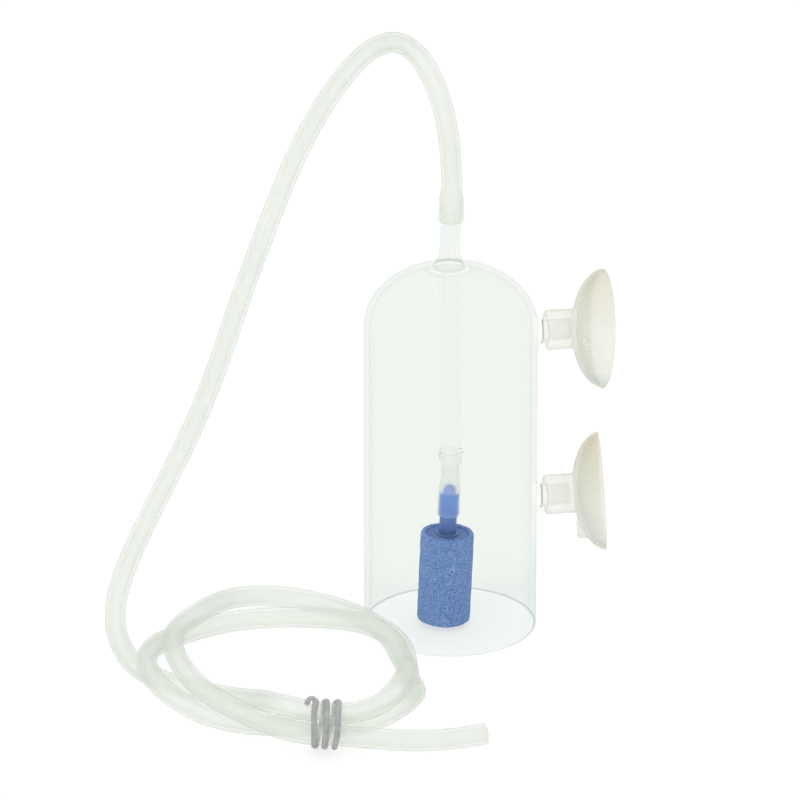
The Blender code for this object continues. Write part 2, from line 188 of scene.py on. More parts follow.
def make_camera():
    a, e = VIEW_AZIMUTH, VIEW_ELEVATION
    right = Vector((math.cos(a), math.sin(a), 0))
    up = Vector((-math.sin(a) * math.sin(e), math.cos(a) * math.sin(e), math.cos(e)))
    back = right.cross(up)
    aim = Vector((AXIS_X, 0, 0)) + right * AIM_RIGHT + up * AIM_UP
    data = bpy.data.cameras.new("camera")
    data.sensor_width = 36
    data.lens = data.sensor_width * VIEW_DISTANCE / VIEW_WIDTH
    data.clip_end = 50
    camera = bpy.data.objects.new("camera", data)
    bpy.context.scene.collection.objects.link(camera)
    camera.location = aim + back * VIEW_DISTANCE
    camera.rotation_euler = back.to_track_quat("Z", "Y").to_euler()
    bpy.context.scene.camera = camera


def add_area_light(name, place, target, size, power):
    data = bpy.data.lights.new(name, "AREA")
    data.shape = "DISK"
    data.size = size
    data.energy = power
    light = bpy.data.objects.new(name, data)
    bpy.context.scene.collection.objects.link(light)
    light.location = place
    light.rotation_euler = (Vector(place) - Vector(target)).to_track_quat("Z", "Y").to_euler()


def make_studio():
    """An even white sky and two large soft lamps."""
    scene = bpy.context.scene
    scene.view_settings.view_transform = "Standard"
    scene.cycles.max_bounces = 12
    scene.cycles.transparent_max_bounces = 64
    world = bpy.data.worlds.new("studio")
    scene.world = world
    world.use_nodes = True
    nodes, links = world.node_tree.nodes, world.node_tree.links
    background = nodes["Background"]
    coordinates = nodes.new("ShaderNodeTexCoord")
    height = nodes.new("ShaderNodeSeparateXYZ")
    ramp = nodes.new("ShaderNodeValToRGB")
    links.new(coordinates.outputs["Generated"], height.inputs[0])
    links.new(height.outputs["Z"], ramp.inputs["Fac"])
    links.new(ramp.outputs["Color"], background.inputs["Color"])
    ramp.color_ramp.elements[0].color = (0.90, 0.91, 0.91, 1)
    ramp.color_ramp.elements[1].color = (1, 1, 1, 1)
    ramp.color_ramp.elements[1].position = 0.55
    background.inputs["Strength"].default_value = 0.94
    middle = (AXIS_X, 0, 0.05)
    add_area_light("key", (-0.9, -1.1, 1.5), middle, 1.4, 6.0)
    add_area_light("top", (0.3, 0.6, 1.8), middle, 1.6, 4.0)


def make_floor():
    """A pale surface that glows a little, so that it stays white under the glass."""
    bm = bmesh.new()
    bmesh.ops.create_grid(bm, x_segments=1, y_segments=1, size=30)
    mesh = bpy.data.meshes.new("floor")
    bm.to_mesh(mesh)
    bm.free()
    floor = bpy.data.objects.new("floor", mesh)
    bpy.context.scene.collection.objects.link(floor)
    look = bpy.data.materials.new("floor")
    look.use_nodes = True
    shader = look.node_tree.nodes["Principled BSDF"]
    shader.inputs["Base Color"].default_value = (0.32, 0.32, 0.32, 1)
    shader.inputs["Emission Color"].default_value = (1, 1, 1, 1)
    shader.inputs["Emission Strength"].default_value = 0.68
    shader.inputs["Roughness"].default_value = 0.9
    shader.inputs["Specular IOR Level"].default_value = 0.1
    mesh.materials.append(look)
    floor.location = (0, 0, -0.00002)


# Materials

BLACK, WHITE = (0, 0, 0), (1, 1, 1)
WIDEST = 0.036  # beyond the pegs' ends, from the bell's axis


class Look:
    """A material and the few node helpers that the looks share."""

    def __init__(self, name):
        self.material = bpy.data.materials.new(name)
        self.material.use_nodes = True
        self.nodes = self.material.node_tree.nodes
        self.links = self.material.node_tree.links
        self.shader = self.nodes["Principled BSDF"]
        self.place = self.nodes.new("ShaderNodeTexCoord").outputs["Object"]

    def set(self, **values):
        for name, value in values.items():
            self.shader.inputs[name.replace("_", " ")].default_value = value

    def noise(self, size, detail=3.0, roughness=0.5, stretch=(1, 1, 1)):
        """Noise whose blotches are about size metres across."""
        mapping = self.nodes.new("ShaderNodeMapping")
        mapping.inputs["Scale"].default_value = stretch
        texture = self.nodes.new("ShaderNodeTexNoise")
        texture.inputs["Scale"].default_value = 1 / size
        texture.inputs["Detail"].default_value = detail
        texture.inputs["Roughness"].default_value = roughness
        self.links.new(self.place, mapping.inputs["Vector"])
        self.links.new(mapping.outputs["Vector"], texture.inputs["Vector"])
        return texture.outputs["Fac"]

    def axes(self):
        """The place's x, y and z."""
        parts = self.nodes.new("ShaderNodeSeparateXYZ")
        self.links.new(self.place, parts.inputs[0])
        return parts.outputs

    def radius(self, centre=0.0):
        """The distance from the upright line at x = centre."""
        flat = self.nodes.new("ShaderNodeVectorMath")
        flat.operation = "MULTIPLY_ADD"
        flat.inputs[1].default_value, flat.inputs[2].default_value = (1, 1, 0), (-centre, 0, 0)
        length = self.nodes.new("ShaderNodeVectorMath")
        length.operation = "LENGTH"
        self.links.new(self.place, flat.inputs[0])
        self.links.new(flat.outputs[0], length.inputs[0])
        return length.outputs["Value"]

    def shell_place(self):
        """1 on the bell's outer skin, and 0.936 or less on its inner skin."""
        scaled = self.nodes.new("ShaderNodeVectorMath")
        scaled.operation = "MULTIPLY_ADD"
        scaled.inputs[1].default_value = (1 / BELL_RADIUS, 1 / BELL_RADIUS, 1 / DOME_RISE)
        scaled.inputs[2].default_value = (0, 0, -STRAIGHT_TOP / DOME_RISE)
        straight = self.nodes.new("ShaderNodeVectorMath")
        straight.operation = "MAXIMUM"
        straight.inputs[1].default_value = (-9, -9, 0)
        length = self.nodes.new("ShaderNodeVectorMath")
        length.operation = "LENGTH"
        self.links.new(self.place, scaled.inputs[0])
        self.links.new(scaled.outputs[0], straight.inputs[0])
        self.links.new(straight.outputs[0], length.inputs[0])
        return length.outputs["Value"]

    def ramp(self, value, *stops):
        node = self.nodes.new("ShaderNodeValToRGB")
        elements = node.color_ramp.elements
        while len(elements) < len(stops):
            elements.new(0.5)
        for element, (position, color) in zip(elements, stops):
            element.position = position
            element.color = (*color, 1)
        self.links.new(value, node.inputs["Fac"])
        return node.outputs["Color"]

    def between(self, value, low, high, first=0.0, last=1.0):
        """The value's place between low and high, as a number from first to last."""
        node = self.nodes.new("ShaderNodeMapRange")
        node.inputs["From Min"].default_value, node.inputs["From Max"].default_value = low, high
        node.inputs["To Min"].default_value, node.inputs["To Max"].default_value = first, last
        self.links.new(value, node.inputs["Value"])
        return node.outputs["Result"]

    def rings(self, radius, *stops):
        """Colours by distance from an upright line. A stop is (radius, colour)."""
        shares = [(place / WIDEST, color) for place, color in stops]
        return self.ramp(self.between(radius, 0, WIDEST), *shares)

    def blended(self, factor, first, second, kind):
        node = self.nodes.new("ShaderNodeMix")
        node.data_type = "RGBA"
        node.blend_type = kind
        if isinstance(factor, float):
            node.inputs["Factor"].default_value = factor
        else:
            self.links.new(factor, node.inputs["Factor"])
        self.links.new(first, node.inputs["A"])
        self.links.new(second, node.inputs["B"])
        return node.outputs["Result"]

    def multiplied(self, first, second):
        return self.blended(1.0, first, second, "MULTIPLY")

    def lighter(self, first, second):
        """The lighter of the two, in each colour channel."""
        return self.blended(1.0, first, second, "LIGHTEN")

    def roughen(self, size, low, high):
        """Roughness that wanders between low and high."""
        self.links.new(self.between(self.noise(size), 0.3, 0.7, low, high), self.shader.inputs["Roughness"])

    def bump(self, *layers):
        """Each layer is a height output and its depth in metres."""
        normal = None
        for height, depth in layers:
            node = self.nodes.new("ShaderNodeBump")
            node.inputs["Strength"].default_value = 1
            node.inputs["Distance"].default_value = depth
            self.links.new(height, node.inputs["Height"])
            if normal:
                self.links.new(normal, node.inputs["Normal"])
            normal = node.outputs["Normal"]
        self.links.new(normal, self.shader.inputs["Normal"])

    def facing(self, ahead, edge_on, sharpness=1.0):
        """A value that goes from ahead, where the surface faces the eye, to edge_on at its outline."""
        weight = self.nodes.new("ShaderNodeLayerWeight")
        weight.inputs["Blend"].default_value = 0.5
        power = self.nodes.new("ShaderNodeMath")
        power.operation = "POWER"
        power.inputs[1].default_value = sharpness
        self.links.new(weight.outputs["Facing"], power.inputs[0])
        return self.between(power.outputs[0], 0, 1, ahead, edge_on)

    def see_through(self, solid, tint):
        """What shows is the shader by its solid share, over a clear surface of that tint."""
        clear = self.nodes.new("ShaderNodeBsdfTransparent")
        mix = self.nodes.new("ShaderNodeMixShader")
        self.links.new(tint, clear.inputs["Color"])
        self.links.new(solid, mix.inputs["Fac"])
        self.links.new(clear.outputs[0], mix.inputs[1])
        self.links.new(self.shader.outputs["BSDF"], mix.inputs[2])
        return mix.outputs[0]

    def let_light_through(self, tint, shown=None):
        """Lamps and scattered light pass straight through, so that what is inside or below isn't dark."""
        shown = shown or self.shader.outputs["BSDF"]
        path = self.nodes.new("ShaderNodeLightPath")
        clear = self.nodes.new("ShaderNodeBsdfTransparent")
        clear.inputs["Color"].default_value = (*tint, 1)
        for ray in ("Is Shadow Ray", "Is Diffuse Ray"):
            mix = self.nodes.new("ShaderNodeMixShader")
            self.links.new(path.outputs[ray], mix.inputs["Fac"])
            self.links.new(shown, mix.inputs[1])
            self.links.new(clear.outputs[0], mix.inputs[2])
            shown = mix.outputs[0]
        self.links.new(shown, self.nodes["Material Output"].inputs["Surface"])


def side_tint(look):
    """Inlet tube, bell and pegs. All that the bell's wall keeps back is in its outer skin."""
    plain, wall = (0.990, 0.995, 0.990), (0.929, 0.944, 0.926)
    radius = look.radius()
    tube = look.rings(radius, (0.0020, WHITE), (0.0024, plain))
    in_shell = look.rings(radius, (0.0029, BLACK), (0.0034, WHITE), (0.0252, WHITE), (0.0262, BLACK))
    shell = look.ramp(look.shell_place(), (0.950, plain), (0.970, wall))
    return look.blended(in_shell, tube, shell, "MIX")


def pole_tint(look):
    """The dome's middle: a thick ring where the nipple is welded on, and a faint bead round it."""
    wall = (0.929, 0.944, 0.926)
    return look.rings(
        look.radius(-NIPPLE_SHIFT),
        (0.0020, WHITE),
        (0.0026, (0.980, 0.986, 0.980)),
        (0.0038, (0.975, 0.984, 0.975)),
        (0.0042, (0.86, 0.90, 0.83)),
        (0.0045, (0.79, 0.82, 0.85)),
        (0.0048, (0.97, 0.975, 0.97)),
        (0.0059, wall),
        (0.0064, (0.86, 0.895, 0.84)),
        (0.0070, wall),
    )


def nipple_tint(look, height):
    """Slightly milky between the dome and the hose's mouth, apart from the bore."""
    milky = (0.940, 0.957, 0.937)
    bare = look.between(height, BELL_HIGH.z, MOUTH_HEIGHT + 0.0010)
    skin = look.ramp(bare, (0.03, WHITE), (0.12, milky), (0.93, milky), (1.0, WHITE))
    return look.lighter(skin, look.between(look.radius(-NIPPLE_SHIFT / 2), 0.0021, 0.0024, 1, 0))


def foot_line_and_painted_shadow(look, y, height):
    """A grey line round the ground rim, and a painted shadow: the front wall's low band is a little bluer
    and darker where the floor inside the bell shows through it.
    """
    inside = look.rings(look.radius(), (0.0243, WHITE), (0.0246, BLACK))
    ground = look.ramp(look.between(height, 0, 0.0010), (0.16, (0.74, 0.765, 0.79)), (0.32, WHITE))
    # Painted shadow: the bell's low front wall is tinted a little darker and bluer, standing in for the
    # shadow that the bell casts on the floor inside it.
    painted_floor_shadow = look.ramp(look.between(height, 0, 0.025), (0.75, (0.958, 0.970, 0.974)), (1.0, WHITE))
    front = look.lighter(painted_floor_shadow, look.between(y, -0.016, 0.004))
    return look.lighter(ground, inside), look.lighter(front, inside)


def peg_weld_tint(look, y):
    """The dark line where a peg joins the bell, on the front half only."""
    line = (0.46, 0.51, 0.46)
    weld = look.rings(look.radius(), (0.0262, WHITE), (0.0264, line), (0.0266, line), (0.0268, WHITE))
    return look.lighter(weld, look.between(y, -0.0012, 0.0004))


def glass_look():
    """Clear glass: a mirror-like skin over a clear wall, which keeps back more light where it is thick."""
    look = Look("fused_glass")
    look.set(Base_Color=(0.80, 0.86, 0.80, 1), Roughness=0.02, IOR=1.47)
    _, y, height = look.axes()
    on_top = look.between(height, BELL_HIGH.z - 0.00135, BELL_HIGH.z - 0.00120)
    face_on = look.blended(on_top, side_tint(look), pole_tint(look), "MIX")
    tint = look.ramp(look.facing(0, 1, 9.0), (0.0, WHITE), (1.0, (0.89, 0.92, 0.89)))
    for layer in (face_on, nipple_tint(look, height), *foot_line_and_painted_shadow(look, y, height), peg_weld_tint(look, y)):
        tint = look.multiplied(tint, layer)
    look.bump((look.noise(0.006, 1, 0.4, (1, 1, 0.12)), 0.00001))
    look.let_light_through((0.995, 0.998, 0.995), look.see_through(look.facing(0.0, 0.16, 5.0), tint))
    return look.material


def silicone_look(name, color, solid, edge_solid, roughness, painted_shade_stops=None):
    """Milky silicone, which hides more of what is behind it at its outline.

    The last argument is for the cups: stops of painted shade and painted reflection, from a warm tone at the
    top of the cup to a bluish grey at its bottom. Their collars are clearer.
    """
    look = Look(name)
    look.set(IOR=1.41, Subsurface_Weight=0.6, Subsurface_Scale=0.0012, Subsurface_Radius=(1.0, 0.95, 0.85))
    soft = tuple(level * 0.965 for level in color)
    cloud = look.noise(0.012, 4)
    body = look.ramp(cloud, (0.30, soft), (0.65, color))
    share = look.facing(solid, edge_solid, 2.5)
    if painted_shade_stops:
        # Painted shade and painted reflection: the shell is warmer and darker at its top and bluish grey at
        # its bottom.
        down, _, along = look.axes()
        body = look.multiplied(body, look.ramp(look.between(down, -CUP_RADIUS, CUP_RADIUS), *painted_shade_stops))
        clearer = look.nodes.new("ShaderNodeMath")
        clearer.operation = "MULTIPLY"
        look.links.new(share, clearer.inputs[0])
        look.links.new(look.between(along, COLLAR_END - 0.0025, COLLAR_END, 0.55, 1.0), clearer.inputs[1])
        share = clearer.outputs[0]
    look.links.new(body, look.shader.inputs["Base Color"])
    look.roughen(0.0016, roughness - 0.05, roughness + 0.07)
    look.bump((look.noise(0.0009, 2), 0.00001), (look.noise(0.007, 2, 0.5), 0.00005))
    look.set(Specular_IOR_Level=0.3)
    tint = look.ramp(look.facing(0, 1, 3.0), (0.0, (0.988, 0.992, 0.984)), (1.0, (0.72, 0.75, 0.71)))
    look.let_light_through((0.975, 0.98, 0.97), look.see_through(share, tint))
    return look.material


def sleeve_look():
    """Clear soft silicone. It bends light, so the stem that it grips fills it."""
    look = Look("sleeve_silicone")
    look.set(IOR=1.30, Transmission_Weight=0.86)
    tint = look.ramp(look.noise(0.006, 3), (0.3, (0.925, 0.93, 0.915)), (0.7, (0.95, 0.957, 0.942)))
    look.links.new(tint, look.shader.inputs["Base Color"])
    look.roughen(0.0016, 0.32, 0.40)
    look.bump((look.noise(0.003, 2), 0.00002))
    look.let_light_through((0.96, 0.97, 0.96))
    return look.material


def stone_look():
    """Fine grains of two sizes. The recess in the stone's top is a little darker, as painted shade."""
    look = Look("blue_mineral")
    grain = look.noise(0.00034, 2, 0.6)
    speckle = look.noise(0.00021, 1, 0.5)
    cloud = look.noise(0.0055, 3, 0.6)
    body = look.ramp(
        grain,
        (0.30, srgb(70, 102, 162)),
        (0.45, srgb(106, 138, 196)),
        (0.57, srgb(130, 160, 212)),
        (0.72, srgb(178, 199, 234)),
    )
    shade = look.ramp(cloud, (0.32, (0.84, 0.86, 0.89)), (0.66, WHITE))
    _, _, height = look.axes()
    floor = look.between(height, STONE_TOP - STONE_RECESS, STONE_TOP)
    # Painted shade: the floor of the recess in the stone's top is darkened.
    recess = look.lighter(
        look.ramp(floor, (0.35, (0.84, 0.82, 0.86)), (0.70, WHITE)),
        look.between(look.radius(), RECESS_RADIUS - 0.0001, RECESS_RADIUS + 0.0003),
    )
    body = look.multiplied(look.multiplied(body, shade), recess)
    look.links.new(body, look.shader.inputs["Base Color"])
    look.set(Specular_IOR_Level=0.25)
    look.links.new(look.between(speckle, 0.3, 0.7, 0.75, 1.0), look.shader.inputs["Roughness"])
    look.bump((grain, 0.00025), (speckle, 0.00012))
    return look.material


def blue_plastic_look():
    """The stem's plastic, greyer towards the stone."""
    look = Look("blue_plastic")
    _, _, height = look.axes()
    dye = look.ramp(
        look.between(height, STONE_TOP, STEM_TOP),
        (0.04, srgb(82, 104, 152)),
        (0.14, srgb(92, 116, 178)),
        (0.38, srgb(96, 128, 196)),
        (0.45, srgb(18, 112, 208)),
        (0.95, srgb(36, 124, 220)),
    )
    shade = look.ramp(look.noise(0.004, 3), (0.3, (0.94, 0.94, 0.95)), (0.7, (1.04, 1.03, 1.02)))
    look.links.new(look.multiplied(dye, shade), look.shader.inputs["Base Color"])
    look.set(IOR=1.49, Subsurface_Weight=0.4, Subsurface_Scale=0.001)
    look.roughen(0.0008, 0.28, 0.42)
    look.bump((look.noise(0.0012, 3), 0.00003))
    return look.material


def tie_coat_look():
    look = Look("grey_plastic")
    cloud = look.noise(0.0022, 4)
    tint = look.ramp(cloud, (0.3, srgb(146, 147, 146)), (0.7, srgb(172, 173, 172)))
    look.links.new(tint, look.shader.inputs["Base Color"])
    look.set(Coat_Weight=0.25, Coat_Roughness=0.2)
    look.roughen(0.0008, 0.35, 0.55)
    look.bump((look.noise(0.0011, 3), 0.00006))
    return look.material


def steel_look():
    look = Look("steel_wire")
    cloud = look.noise(0.0006, 4)
    tint = look.ramp(cloud, (0.3, srgb(150, 150, 152)), (0.7, srgb(205, 205, 208)))
    look.links.new(tint, look.shader.inputs["Base Color"])
    look.set(Metallic=1.0)
    look.links.new(look.between(look.noise(0.0004, 2), 0.3, 0.7, 0.25, 0.5), look.shader.inputs["Roughness"])
    look.bump((look.noise(0.0003, 2), 0.00002))
    return look.material


# Mesh helpers


def add_mesh(name, bm, look, sharp_angle=40):
    bmesh.ops.recalc_face_normals(bm, faces=bm.faces)
    mesh = bpy.data.meshes.new(name)
    bm.to_mesh(mesh)
    bm.free()
    mesh.shade_smooth()
    mesh.set_sharp_from_angle(angle=math.radians(sharp_angle))
    mesh.materials.append(look)
    obj = bpy.data.objects.new(name, mesh)
    bpy.context.scene.collection.objects.link(obj)
    return obj


def rounded(outline, closed=True, steps=4):
    """Corners of (radius, height, rounding) become small arcs. A corner of (radius, height) stays sharp."""
    count = len(outline)
    points = []
    for k, corner in enumerate(outline):
        here = Vector(corner[:2])
        if len(corner) < 3 or (not closed and k in (0, count - 1)):
            points.append(tuple(here))
            continue
        before = Vector(outline[k - 1][:2]) - here
        after = Vector(outline[(k + 1) % count][:2]) - here
        reach = min(corner[2], before.length * 0.49, after.length * 0.49)
        start, end = here + before.normalized() * reach, here + after.normalized() * reach
        for j in range(steps + 1):
            t = j / steps
            points.append(tuple((1 - t) ** 2 * start + 2 * t * (1 - t) * here + t * t * end))
    return points


def arc(radius, rise, base, first, last, steps):
    """(radius, height) points on an ellipse round (0, base), between two radii."""
    start, end = math.acos(first / radius), math.acos(last / radius)
    angles = [start + (end - start) * k / steps for k in range(steps + 1)]
    return [(radius * math.cos(a), base + rise * math.sin(a)) for a in angles]


def supported(outline, longest=0.003, close=0.0003):
    """The outline with points near both ends of its long runs, so that smooth shading stays straight."""
    points = [outline[0]]
    for end in outline[1:] + ([] if outline[0][0] == 0 else outline[:1]):
        start = Vector(points[-1])
        run = Vector(end) - start
        if run.length > longest:
            inner = round(run.length / longest)
            shares = [close / run.length, *(j / inner for j in range(1, inner)), 1 - close / run.length]
            points += [tuple(start + run * share) for share in shares]
        points.append(tuple(end))
    return points if outline[0][0] == 0 else points[:-1]


def turned(outline, steps):
    """A bmesh turned round Z from (radius, height) points: a closed loop, or both ends on the axis."""
    outline = supported(outline)
    bm = bmesh.new()
    verts = [bm.verts.new((radius, 0, height)) for radius, height in outline]
    on_axis = outline[0][0] == 0 and outline[-1][0] == 0
    pairs = list(zip(verts, verts[1:])) if on_axis else list(zip(verts, verts[1:] + verts[:1]))
    edges = [bm.edges.new(pair) for pair in pairs]
    bmesh.ops.spin(bm, geom=verts + edges, axis=(0, 0, 1), angle=2 * math.pi, steps=steps, use_merge=True)
    bmesh.ops.remove_doubles(bm, verts=bm.verts, dist=1e-7)
    return bm


def united(obj, *others):
    """obj joined with the others into one skin. The others are removed."""
    for other in others:
        join = obj.modifiers.new("join", "BOOLEAN")
        join.operation = "UNION"
        join.object = other
    graph = bpy.context.evaluated_depsgraph_get()
    mesh = bpy.data.meshes.new_from_object(obj.evaluated_get(graph))
    obj.modifiers.clear()
    obj.data = mesh
    mesh.shade_smooth()
    mesh.set_sharp_from_angle(angle=math.radians(40))
    for other in others:
        bpy.data.objects.remove(other)
    return obj


def smooth_curve(points, per_span):
    """A natural cubic spline through the points, spaced by chord length."""
    points = np.array(points)
    chords = np.linalg.norm(np.diff(points, axis=0), axis=1)
    count = len(points)
    system, target = np.eye(count), np.zeros((count, 3))
    for k in range(1, count - 1):
        before, after = chords[k - 1], chords[k]
        system[k, k - 1 : k + 2] = before, 2 * (before + after), after
        target[k] = 6 * ((points[k + 1] - points[k]) / after - (points[k] - points[k - 1]) / before)
    bends = np.linalg.solve(system, target)
    curve = []
    for k, chord in enumerate(chords):
        for t in np.arange(per_span) / per_span:
            near, far = 1 - t, t
            curve.append(
                near * points[k]
                + far * points[k + 1]
                + chord**2 / 6 * ((near**3 - near) * bends[k] + (far**3 - far) * bends[k + 1])
            )
    curve.append(points[-1])
    return np.array(curve)


def lengths_along(curve):
    return np.concatenate([[0], np.cumsum(np.linalg.norm(np.diff(curve, axis=0), axis=1))])


def evenly_spaced(curve, spacing):
    along = lengths_along(curve)
    stations = np.linspace(0, along[-1], round(along[-1] / spacing) + 1)
    return np.stack([np.interp(stations, along, curve[:, k]) for k in range(3)], axis=1)


def tangents_of(path):
    ahead = np.vstack([path[1:], path[-1:]])
    behind = np.vstack([path[:1], path[:-1]])
    tangents = ahead - behind
    return tangents / np.linalg.norm(tangents, axis=1)[:, None]


def carried_normals(path, tangents):
    """A normal at each point of the path, turning as little as it can."""
    normals = []
    normal = Vector(tangents[0]).orthogonal()
    for tangent in tangents:
        tangent = Vector(tangent)
        normal = (normal - tangent * normal.dot(tangent)).normalized()
        normals.append(tuple(normal))
    return np.array(normals)


def skin(bm, rings, closed_ends=False):
    """Faces between rings of points, each ring an array. The ends are filled if asked."""
    made = [[bm.verts.new(point) for point in ring] for ring in rings]
    for first, second in zip(made, made[1:]):
        for j in range(len(first)):
            following = (j + 1) % len(first)
            bm.faces.new((first[j], first[following], second[following], second[j]))
    if closed_ends:
        bm.faces.new(made[0])
        bm.faces.new(made[-1])
    return made


# Glass


def dome_height(radius):
    return STRAIGHT_TOP + DOME_RISE * math.sqrt(1 - (radius / BELL_RADIUS) ** 2)


def make_peg(level, look):
    """A solid peg with a rounded end. Its flared root starts inside the bell's wall."""
    low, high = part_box(f"{level}_peg")
    end = high.x - AXIS_X
    root = BELL_RADIUS - BELL_WALL * 0.45
    outline = [
        (0, root),
        (PEG_ROOT_RADIUS, root),
        (PEG_ROOT_RADIUS, BELL_RADIUS),
        (0.0044, BELL_RADIUS + 0.0005),
        (0.0038, BELL_RADIUS + 0.0010),
        (0.0036, BELL_RADIUS + 0.0014),
        (0.0035, BELL_RADIUS + 0.0018),
        (0.0032, BELL_RADIUS + 0.0021),
        (PEG_RADIUS, BELL_RADIUS + 0.0022),
        (PEG_RADIUS, end - 0.0018),
        (PEG_RADIUS * 0.95, end - 0.0011),
        (PEG_RADIUS * 0.75, end - 0.0005),
        (PEG_RADIUS * 0.4, end - 0.0001),
        (0, end),
    ]
    peg = add_mesh(f"{level}_peg_glass", turned(outline, 48), look)
    peg.rotation_euler = (0, math.pi / 2, 0)
    peg.location = (AXIS_X, 0, (low.z + high.z) / 2)
    return peg


def make_glass(look):
    """Bell, nipple and inlet tube are one turned skin, and the pegs are joined on."""
    inside = BELL_RADIUS - BELL_WALL
    bead = [(radius, dome_height(radius) + rise) for radius, rise in BEAD]
    foot = dome_height(NIPPLE_FOOT_RADIUS) + 0.0003
    flare = []
    for k in range(13):
        share = k / 12
        wider = (NIPPLE_FOOT_RADIUS - NIPPLE_RADIUS) * (1 - share) ** 2.2
        flare.append((NIPPLE_RADIUS + wider, foot + NIPPLE_FLARE * share))
    tube_top = STRAIGHT_TOP + (DOME_RISE - BELL_WALL) * math.sqrt(1 - (TUBE_WELD / inside) ** 2)
    outline = [(inside + 0.0003, 0.0002), (inside + 0.0007, 0), (BELL_RADIUS - 0.0006, 0)]
    outline += [(BELL_RADIUS - 0.0002, 0.0002), (BELL_RADIUS, 0.0007)]
    outline += [(BELL_RADIUS, STRAIGHT_TOP * share) for share in (0.25, 0.5, 0.75)]
    outline += arc(BELL_RADIUS, DOME_RISE, STRAIGHT_TOP, BELL_RADIUS, 0.0080, 40)
    outline += bead + flare
    outline += [
        (NIPPLE_RADIUS, TUBE_HIGH.z - 0.0007),
        (NIPPLE_RADIUS - 0.0002, TUBE_HIGH.z - 0.0002),
        (NIPPLE_RADIUS - 0.0006, TUBE_HIGH.z),
        (TUBE_BORE + 0.0002, TUBE_HIGH.z),
        (TUBE_BORE, TUBE_HIGH.z - 0.0003),
        (TUBE_BORE, TUBE_LOW.z + 0.0003),
        (TUBE_BORE + 0.0003, TUBE_LOW.z),
        (TUBE_RADIUS - 0.0004, TUBE_LOW.z),
        (TUBE_RADIUS, TUBE_LOW.z + 0.0005),
        (TUBE_RADIUS, tube_top - 0.0030),
        (TUBE_RADIUS + 0.0001, tube_top - 0.0015),
        (TUBE_RADIUS + 0.0005, tube_top - 0.0004),
        (TUBE_WELD, tube_top),
    ]
    outline += arc(inside, DOME_RISE - BELL_WALL, STRAIGHT_TOP, TUBE_WELD + 0.0006, inside, 36)
    outline += [(inside, STRAIGHT_TOP * share) for share in (0.75, 0.5, 0.25)]
    outline += [(inside, 0.0007)]
    body = add_mesh("glass_body", turned(outline, 128), look)
    body.location = (AXIS_X, 0, 0)
    pegs = [make_peg(level, look) for level in ("lower", "upper")]
    bpy.context.view_layer.update()
    body = united(body, *pegs)
    for vert in body.data.vertices:
        share = min(1, max(0, (vert.co.z - TUBE_LOW.z) / (BELL_HIGH.z - TUBE_LOW.z)))
        share *= min(1, max(0, (MOUTH_HEIGHT - vert.co.z) / (MOUTH_HEIGHT - BELL_HIGH.z)))
        share *= min(1, max(0, (0.0080 - vert.co.xy.length) / 0.0030))
        vert.co.x -= NIPPLE_SHIFT * share
    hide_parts("glass_bell", "inlet_tube", "upper_peg", "lower_peg")
    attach(body, "bell")


# Suction cups


def tab_shape(turn):
    bm = bmesh.new()
    bmesh.ops.create_cube(bm, size=1, matrix=Matrix.Diagonal((TAB_WIDTH, TAB_DEPTH, TAB_LENGTH, 1)))
    bmesh.ops.bevel(bm, geom=bm.edges, offset=0.0005, segments=4, affect="EDGES", profile=0.5)
    middle = TAB_START + TAB_LENGTH / 2
    bmesh.ops.translate(bm, verts=bm.verts, vec=(0, TAB_DEPTH / 2 - TAB_REACH, middle))
    for vert in bm.verts:
        if vert.co.z > middle:
            vert.co.z -= TAB_SLANT * (TAB_REACH + vert.co.y)
    bmesh.ops.rotate(bm, verts=bm.verts, cent=(0, 0, 0), matrix=Matrix.Rotation(turn, 3, "Z"))
    return bm


def make_cup(level, look):
    """Collar, shell and pull tab in one skin, turned about the peg, and then bent where the shell droops."""
    low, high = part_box(f"{level}_suction_cup")
    past = 0.0008  # how far the shell's centre lies beyond its rim
    centre = CUP_FACE + past
    outer_rise, inner_rise = CUP_DEPTH + past, CUP_DEPTH + past - CUP_WALL
    land = 0.0007  # the rim's flat width
    inner_radius = (CUP_RADIUS - land) / math.sqrt(1 - (past / inner_rise) ** 2)
    outer_radius = CUP_RADIUS / math.sqrt(1 - (past / outer_rise) ** 2)
    inner = arc(inner_radius, -inner_rise, centre, CUP_RADIUS - land, 0, 26)
    outer = arc(outer_radius, -outer_rise, centre, COLLAR_RADIUS + 0.0012, CUP_RADIUS, 26)
    inner[0], outer[-1] = (CUP_RADIUS - land, CUP_FACE), (CUP_RADIUS, CUP_FACE - 0.0002)
    inner[-1] = (0, inner[-1][1])
    socket = PEG_RADIUS + 0.0002
    collar = rounded([
        (0, SOCKET_END),
        (socket, SOCKET_END, 0.0006),
        (socket, COLLAR_START, 0.0005),
        (COLLAR_RADIUS, COLLAR_START, 0.0005),
        (COLLAR_RADIUS, outer[0][1] - 0.0002, 0.0009),
        outer[0],
    ], closed=False)
    cup = add_mesh(f"{level}_cup", turned(collar + outer[1:] + inner, 96), look)
    tab = add_mesh(f"{level}_cup_tab", tab_shape(TAB_TURN[level]), look)
    for piece in (cup, tab):
        piece.rotation_euler = (0, math.pi / 2, 0)
        piece.location = (AXIS_X, 0, (low.z + high.z) / 2)
    bpy.context.view_layer.update()
    cup = united(cup, tab)
    sideways, upwards = (math.radians(angle) for angle in CUP_DROOP[level])
    hinge = Vector((0, 0, BEND_PLACE))
    for vert in cup.data.vertices:
        share = min(1, max(0, (vert.co.z - hinge.z) / BEND_LENGTH + 0.5))
        share = share * share * (3 - 2 * share)
        bend = Matrix.Rotation(upwards * share, 3, "Y") @ Matrix.Rotation(sideways * share, 3, "X")
        vert.co = hinge + bend @ (vert.co - hinge)
    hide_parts(f"{level}_suction_cup")
    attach(cup, f"{level}_cup")


# Sleeve, stem and stone


def lean_over(obj):
    obj.rotation_euler = (0, LEAN, 0)
    obj.location = PIVOT
    bpy.context.view_layer.update()


